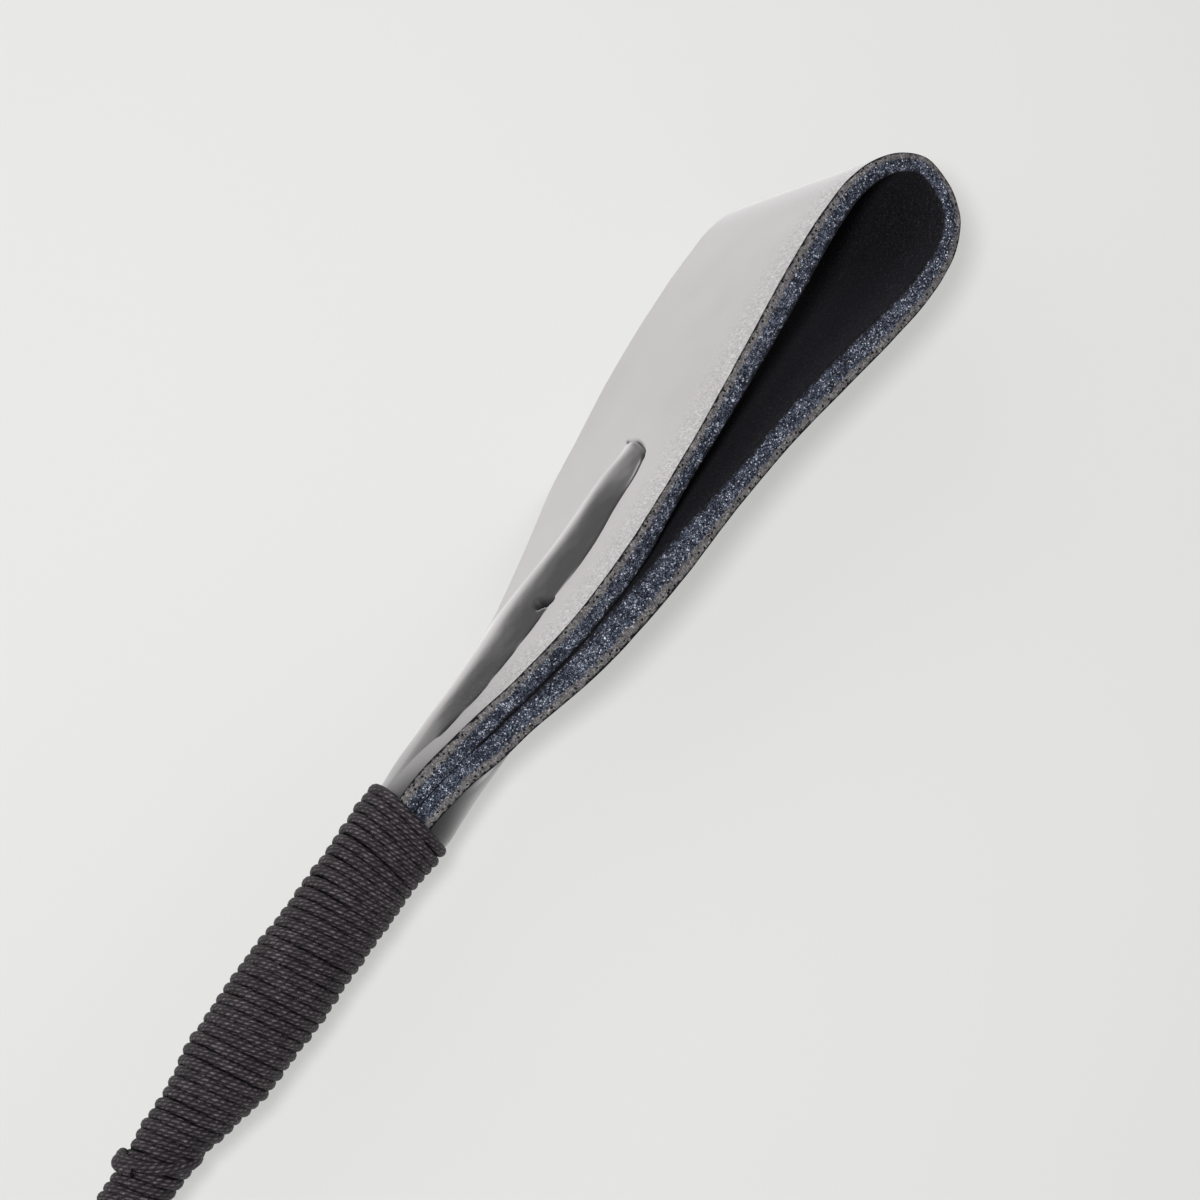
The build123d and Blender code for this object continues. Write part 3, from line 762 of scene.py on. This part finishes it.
def edge_fibres(bands, material):
    """Short loose fibres that stand off the cut edges."""
    verts, faces = [], []
    sides = np.array([0, 2, 4]) * math.pi / 3
    for band, sign in bands:
        columns, rows = band.shape[:2]
        for _ in range(FIBRES_PER_EDGE):
            i = random.integers(6, columns - 6)
            j = random.integers(3, rows - 1)
            base = band[i, j]
            if base[0] < 3:
                continue
            reach = random.uniform(0.15, 0.42)
            turn = random.uniform(0, 2 * math.pi)
            away = np.array([math.cos(turn), math.sin(turn), 0])
            rise = random.uniform(0.02, 0.10)
            curl = random.uniform(-0.5, 0.5)
            side = np.array([-away[1], away[0], 0])
            thick = random.uniform(0.012, 0.024)
            first = len(verts)
            for t in (0, 0.35, 0.7, 1.0):
                middle = base + away * reach * t + side * curl * reach * t * t
                middle = middle + np.array([0, 0, sign * (rise * math.sin(math.pi * min(t, 0.8)) - 0.01)])
                size = thick * (1 - 0.6 * t)
                for a in sides:
                    verts.append(middle + side * size * math.cos(a) + np.array([0, 0, size * math.sin(a)]))
            for s in range(3):
                for a in range(3):
                    b = (a + 1) % 3
                    p, q = first + 3 * s, first + 3 * (s + 1)
                    faces.append((p + a, p + b, q + b, q + a))
            faces.append((first, first + 2, first + 1))
            faces.append((first + 9, first + 10, first + 11))
    verts = np.array(verts)
    verts[:, 2] = np.clip(verts[:, 2], 0.002, None)
    return new_object("keeper_edge_fibres", in_metres(verts), faces, [material])


# ---- cord windings -------------------------------------------------------------
STITCH_LENGTH = 0.52
CORD_SIDES = 12
WHIP_RADIUS = [(-46, 2.45), (-33.4, 2.45), (-31, 2.52), (-29.6, 2.82), (-27, 3.1), (-25.5, 3.42),
               (-24.3, 3.72), (-21, 3.78), (-17.8, 3.95), (-13, 3.82), (-8, 3.8), (-1.2, 3.8), (2, 3.6)]


def cord_piece(name, path, axes, length, material):
    """A cord swept along a path, with the values its material needs to lay out the stitches."""
    around = np.linspace(0, 2 * math.pi, CORD_SIDES, endpoint=False)
    section = np.stack([CORD / 2 * np.cos(around), CORD / 2 * 1.09 * np.sin(around)], -1)
    ring = np.repeat(section[None], len(path), 0)
    ring *= 1 + 0.03 * np.sin(length * 1.9)[:, None, None]
    piece = sweep(path, ring, axes, name, [material])
    count = len(path)
    ends = [0.0, length[-1]]
    point_value(piece, "along", np.concatenate([np.repeat(length, CORD_SIDES), ends]))
    point_value(piece, "ring_out", np.concatenate([np.tile(np.cos(around), count), [1, 1]]))
    point_value(piece, "ring_side", np.concatenate([np.tile(np.sin(around), count), [0, 0]]))
    return piece


def wound_cord(name, start, x_to, starts, radius_at, material, seed, wobble=0.04,
               start_angle=WHIP_START_ANGLE, front=0.0):
    """Cords laid side by side round the axis, a little uneven; front tilts and raises the first turns."""
    pieces = []
    lead = CORD * starts
    shared = np.random.default_rng(seed).uniform(0, 6.28, 2)

    def facing_left(turn):
        return np.cos(start_angle - 2 * math.pi * turn + TILT_TURN)

    for k in range(starts):
        shift = np.random.default_rng(seed + k).uniform(0, 6.28, 4)

        def where(turn, k=k, shift=shift):
            x = start - turn * lead - (k + 0.5) * CORD
            tilt = front * WHIP_TILT * facing_left(turn) * smooth_step(x, -13, -1)
            drift = 0.05 * np.sin(1.3 * x + shared[0]) + 0.02 * np.sin(2.9 * x + shared[1])
            return x + tilt + drift + 0.02 * np.sin(turn * 3.1 + shift[1])

        def how_far(turn, shift=shift):
            x = where(turn)
            left = facing_left(turn)
            uneven = np.sin(turn * 2.9 + shift[2]) + 0.6 * np.sin(turn * 7.3 + shift[3])
            oblique = 1.8 * left * bump(x, -31.5, 3.0)
            raised = front * smooth_step(x, -4, -1) * np.where(left > 0, 0.12 * left, -0.35 * left)
            tucked = -0.45 * (1 - smooth_step(turn, 0, 0.12))
            return radius_at(x + oblique) - CORD / 2 + wobble * uneven + raised + tucked

        path, axes, length = helix(0, (start - x_to) / lead, 150, where, how_far, start_angle, hand=-1)
        pieces.append(cord_piece(f"{name}_{k + 1}", path, axes, length, material))
    return pieces


def whip_radius(x):
    """Outer radius of the whipping."""
    return curve_through(WHIP_RADIUS, x)


def hitch(material):
    """The slanting turn that locks the cord near the whipping's lower end."""
    middle, slant = HITCH_BACK + 1.7, 1.7

    def where(turn):
        return middle - slant * np.cos(2 * math.pi * turn) - 0.5 * turn

    def how_far(turn):
        left = np.cos(0.15 + 2 * math.pi * turn)
        return whip_radius(where(turn)) + CORD * (-0.12 + 0.38 * left)

    path, axes, length = helix(-0.08, 1.1, 190, where, how_far, 0.15)
    return cord_piece("whipping_hitch_turn", path, axes, length, material)


# ---- braided shaft ---------------------------------------------------------------
BRAID_STRANDS = 8
BRAID_PITCH = 13.0
BRAID_COLUMN = 0.55
# The yarns lie on a cone that is this thick here, and as thick as the shaft at the handle.
THIN_RADIUS, THIN_X = 1.5, -31.3


def braid(material):
    """Flat yarns running both ways round the shaft, each going over and under the others."""
    low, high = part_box("shaft_braid")
    x_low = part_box("handle_whipping")[1].x / MM - FRONT - 2
    x_high = TAIL_END + 2
    thick_radius = (high.z - low.z) / 2 / MM
    slope = (thick_radius - THIN_RADIUS) / (low.x / MM - FRONT - THIN_X)
    count = int((x_high - x_low) / BRAID_COLUMN)
    x = np.linspace(x_low, x_high, count)
    core = THIN_RADIUS + slope * (x - THIN_X)
    verts, faces, across = [], [], []
    section = np.array([(-1, 0), (-0.6, 0.8), (0, 1), (0.6, 0.8), (1, 0), (0, -0.5)], float)
    step = BRAID_PITCH / (2 * BRAID_STRANDS)
    for direction in (1, -1):
        for k in range(BRAID_STRANDS):
            angle = 2 * math.pi * (k / BRAID_STRANDS + direction * x / BRAID_PITCH)
            over = direction * np.cos(math.pi * x / step)
            r = core + 0.03 + 0.07 * over
            out = np.stack([np.zeros_like(x), np.cos(angle), np.sin(angle)], 1)
            path = np.stack([x, r * np.cos(angle), AXIS_Z + r * np.sin(angle)], 1)
            tangent = np.gradient(path, axis=0)
            tangent /= np.linalg.norm(tangent, axis=1)[:, None]
            side = np.cross(tangent, out)
            half_width = 2 * math.pi * core / BRAID_STRANDS * 0.44
            ring = (path[:, None, :] + side[:, None, :] * (section[:, 0] * half_width[:, None])[..., None]
                    + out[:, None, :] * (section[:, 1] * 0.13)[None, :, None])
            first = sum(len(v) for v in verts)
            verts.append(ring.reshape(-1, 3))
            faces += grid_faces(len(section), count, wrap_rows=True, first=first).tolist()
            faces.append([first + n for n in range(len(section))][::-1])
            faces.append([first + (count - 1) * len(section) + n for n in range(len(section))])
            across.append(np.tile(section[:, 0], count))
    piece = new_object("shaft_braid_yarns", in_metres(np.vstack(verts)), faces, [material])
    point_value(piece, "across", np.concatenate(across))
    return piece


# ---- handle ----------------------------------------------------------------------
WRAP_PITCH = 11.0


def grip_wrap(material):
    """The grip: a leather strip wound in a spiral, each turn lapping the one before."""
    low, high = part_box("grip_sleeve")
    x_low, x_high, radius = low.x / MM, high.x / MM, (high.z - low.z) / 2 / MM
    columns, segments = 420, 128
    x = np.linspace(x_low, x_high, columns)
    angle = np.linspace(0, 2 * math.pi, segments, endpoint=False)
    grid_x, grid_a = np.meshgrid(x, angle, indexing="ij")
    turn = (grid_x - x_low) / WRAP_PITCH - grid_a / (2 * math.pi)
    across = turn - np.floor(turn)
    lap = 0.55 * across + 0.25 * np.sin(math.pi * across)
    groove = np.exp(-(np.minimum(across, 1 - across) / 0.028) ** 2)
    ends = np.minimum(smooth_step(grid_x, x_low, x_low + 1.5), 1 - smooth_step(grid_x, x_high - 1.5, x_high))
    flat = np.stack([grid_x, radius * np.cos(grid_a), radius * np.sin(grid_a)], -1).reshape(-1, 3)
    dents = wave_noise(flat, 9.0, 21).reshape(grid_x.shape) * 0.07
    r = radius - 0.55 + lap * 0.9 - 0.45 * groove + dents - 0.5 * (1 - ends)
    outer = np.stack([grid_x, r * np.cos(grid_a), AXIS_Z + r * np.sin(grid_a)], -1)
    bore = radius - 1.7
    inner = [np.stack([np.full(segments, e), bore * np.cos(angle), AXIS_Z + bore * np.sin(angle)], -1)
             for e in (x_high, x_low)]
    points = np.concatenate([outer, np.array(inner)], 0)
    faces = grid_faces(segments, columns + 2, wrap_rows=True, wrap_columns=True)
    piece = new_object("grip_wrap", points.reshape(-1, 3) * MM, faces.tolist(), [material])
    point_value(piece, "edge", np.concatenate([groove.reshape(-1), np.zeros(2 * segments)]))
    return piece


def node_span(node):
    """A turned node's two ends and its largest radius, in mm."""
    low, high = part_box(node)
    return low.x / MM, high.x / MM, (high.z - low.z) / 2 / MM


def ferrule(material):
    """Turned nose piece with a bead and two fine grooves."""
    back, front, radius = node_span("grip_ferrule")
    profile = rounded([(back, 3.2), (back, radius - 0.5), (back + 0.7, radius), (back + 2.9, radius),
                       (back + 3.3, radius - 0.45), (back + 3.9, radius - 0.45), (back + 4.2, radius - 0.35),
                       (back + 6.4, radius - 1.9), (back + 8.4, radius - 3.2), (front - 0.9, radius - 3.75),
                       (front, radius - 4.0), (front, 3.2)], 0.5)
    return turned("ferrule_turned", profile, [material])


def trim_ring(material):
    """Ring between grip and cap, with two turned grooves."""
    back, front, radius = node_span("grip_ring")
    third = (front - back) / 3
    profile = [(back, 6.3), (back, radius - 0.4)]
    for k in range(3):
        start = back + k * third
        profile += [(start + 0.15, radius - 0.15), (start + 0.4, radius), (start + third - 0.4, radius),
                    (start + third - 0.15, radius - 0.15)]
    profile += [(front, radius - 0.4), (front, 6.3)]
    return turned("trim_ring_turned", rounded(profile, 0.2), [material])


def butt_cap(material):
    """The mushroom cap: a domed rim, a waist and a flat face with a seat for the plug."""
    back, front, radius = node_span("butt_cap")
    plug = (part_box("cap_plug")[1].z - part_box("cap_plug")[0].z) / 2 / MM
    rim = [(back + 6.5 - 6.5 * math.cos(a), 9.2 + (radius - 9.2) * math.sin(a) ** 0.9)
           for a in np.linspace(0.12, math.pi / 2, 14)]
    waist = [(back + 6.5 + (front - back - 6.5) * t,
              radius - (radius - 8.1) * float(smooth_step(t, 0.0, 0.93))) for t in np.linspace(0.06, 1, 18)]
    profile = [(back + 3, plug + 0.02), (back + 0.35, plug + 0.02), (back, plug + 0.35), (back, 8.9)]
    profile += rim + waist + [(front, 6.2)]
    return turned("butt_cap_moulded", profile, [material], segments=128)


def end_plug(material):
    """Plain domed disc pressed into the cap's end, with turned rings."""
    back, front, radius = node_span("cap_plug")
    profile = [(front, 0.01), (front, radius), (back + 0.5, radius), (back + 0.15, radius - 0.25),
               (back, radius - 0.7)]
    for k in range(3):
        r = radius - 1.4 - 1.3 * k
        profile += [(back - 0.02, r + 0.25), (back + 0.12, r + 0.1), (back + 0.12, r - 0.1),
                    (back - 0.04, r - 0.25)]
    profile.append((back - 0.06, 0.01))
    return turned("end_plug_turned", profile, [material])


def dress(node, material):
    """Gives a CAD node that keeps its own shape a procedural material."""
    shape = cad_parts[node]
    shape.data.materials.clear()
    shape.data.materials.append(material)


# ---- stage, camera and light --------------------------------------------------------
def floor():
    """A large pale sheet under the crop."""
    bpy.ops.mesh.primitive_plane_add(size=FLOOR_SIZE)
    sheet = bpy.context.object
    sheet.name = "floor"
    sheet.data.materials.append(floor_paper("floor_paper"))


def aimed_lamp(name, lamp, position, target):
    """Hangs a lamp at a position and turns it to a target."""
    holder = bpy.data.objects.new(name, lamp)
    bpy.context.scene.collection.objects.link(holder)
    holder.location = position
    holder.rotation_euler = (Vector(target) - Vector(position)).to_track_quat("-Z", "Y").to_euler()
    return holder


def soft_light(name, position, target, size, power):
    """A rectangular softbox aimed at a point."""
    lamp = bpy.data.lights.new(name, "AREA")
    lamp.shape = "RECTANGLE"
    lamp.size, lamp.size_y = size
    lamp.energy = power
    aimed_lamp(name, lamp, position, target)


CAMERA_PLACE = (-22.8, 54.9, 182.6)
LOOK_AT = (26.9, -6.7, 0.0)
IMAGE_UP = (0.788, 0.616, 0.007)
LENS = 67.86


def camera():
    """Close view from above the keeper's left side."""
    data = bpy.data.cameras.new("camera")
    data.lens, data.sensor_width = LENS, 36.0
    data.clip_start, data.clip_end = 0.01, 20
    holder = bpy.data.objects.new("camera", data)
    bpy.context.scene.collection.objects.link(holder)
    position, target = Vector(in_metres(CAMERA_PLACE)), Vector(in_metres(LOOK_AT))
    back = (position - target).normalized()
    right = Vector(IMAGE_UP).cross(back).normalized()
    up = back.cross(right)
    turn = Matrix((right, up, back)).transposed().to_4x4()
    holder.matrix_world = Matrix.Translation(position) @ turn
    bpy.context.scene.camera = holder


NEAR_LIGHT = (-20.7, 67.2, 179.0)
NEAR_SIZE = 0.018
NEAR_STRENGTH = 0.85
ROOM_STRENGTH = 0.45


def near_light():
    """A small even light close by the lens; it draws the narrow soft shadow and makes no highlights."""
    lamp = bpy.data.lights.new("near_light", "AREA")
    lamp.shape, lamp.size = "DISK", NEAR_SIZE
    lamp.energy = math.pi ** 2
    lamp.use_nodes = True
    tree = lamp.node_tree
    falloff = add(tree, "ShaderNodeLightFalloff", {"Strength": NEAR_STRENGTH}).outputs["Constant"]
    tree.links.new(falloff, tree.nodes["Emission"].inputs["Strength"])
    holder = aimed_lamp("near_light", lamp, in_metres(NEAR_LIGHT), in_metres(LOOK_AT))
    holder.visible_glossy = False


def lights():
    """An even bright room, a softbox from the left and the small light by the lens."""
    world = bpy.data.worlds.new("studio")
    world.use_nodes = True
    sky = world.node_tree.nodes["Background"]
    sky.inputs["Color"].default_value = (0.98, 0.99, 1.0, 1)
    sky.inputs["Strength"].default_value = ROOM_STRENGTH
    bpy.context.scene.world = world
    middle = (FRONT + 25) * MM
    soft_light("key_softbox", (middle - 0.25, 0.75, 0.55), (middle, 0, 0), (0.9, 0.6), 3.2)
    near_light()
    bpy.context.scene.view_settings.view_transform = "Standard"


# ---- build ------------------------------------------------------------------------------
floor()
camera()
lights()

keeper_grain = grain_leather("keeper_grain")
keeper_cut = cut_leather("keeper_cut_edge")
keeper_suede = suede_leather("keeper_suede")
cord_material = waxed_cord("waxed_cord")
yarn_material = braid_nylon("braid_nylon")
wrap_material = grip_leather("grip_leather")
metal = satin_metal("satin_metal")
black_plastic = moulded_plastic("black_plastic", low=0.4, high=0.55)
cap_material = moulded_plastic("cap_plastic")
rod_material = moulded_plastic("glass_fibre", (0.03, 0.032, 0.03), 0.25, 0.4)
steel = satin_metal("zinc_steel", (0.48, 0.49, 0.52), 0.36)

strip, low_band, high_band = keeper_strip(keeper_grain, keeper_cut, keeper_suede)
fibres = edge_fibres(((low_band, -1), (high_band, 1)), keeper_cut)
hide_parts("keeper_tab_left", "keeper_tab_right", "keeper_loop")
for piece in (strip, fibres):
    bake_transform(piece)

whipping = wound_cord("whipping_turns", WHIP_START, TAIL_END, WHIP_STARTS, whip_radius, cord_material,
                      31, front=1.0)
locking = hitch(cord_material)
for piece in whipping + [locking]:
    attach(piece, CROP)
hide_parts("keeper_whipping", "whipping_tail")
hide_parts("whipping_hitch")

handle_back, handle_front, handle_radius = node_span("handle_whipping")
handle_cord = wound_cord("handle_whipping_turns", handle_front - FRONT, handle_back - FRONT, 1,
                         lambda x: handle_radius, cord_material, 47, wobble=0.02)
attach(handle_cord[0], CROP)
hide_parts("handle_whipping")

yarns = braid(yarn_material)
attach(yarns, CROP)

for make, material, slot, node in ((grip_wrap, wrap_material, "grip_leather", "grip_sleeve"),
                                   (ferrule, metal, "satin_metal", "grip_ferrule"),
                                   (trim_ring, metal, "satin_metal", "grip_ring"),
                                   (butt_cap, cap_material, "cap_plastic", "butt_cap"),
                                   (end_plug, metal, "satin_metal", "cap_plug")):
    piece = make(material)
    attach(piece, CROP)
    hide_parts(node)

for node, material in (("shaft_core", rod_material), ("shaft_tip_cap", black_plastic),
                       ("shaft_braid", black_plastic), ("handle_former", black_plastic),
                       ("cap_screw", steel)):
    dress(node, material)
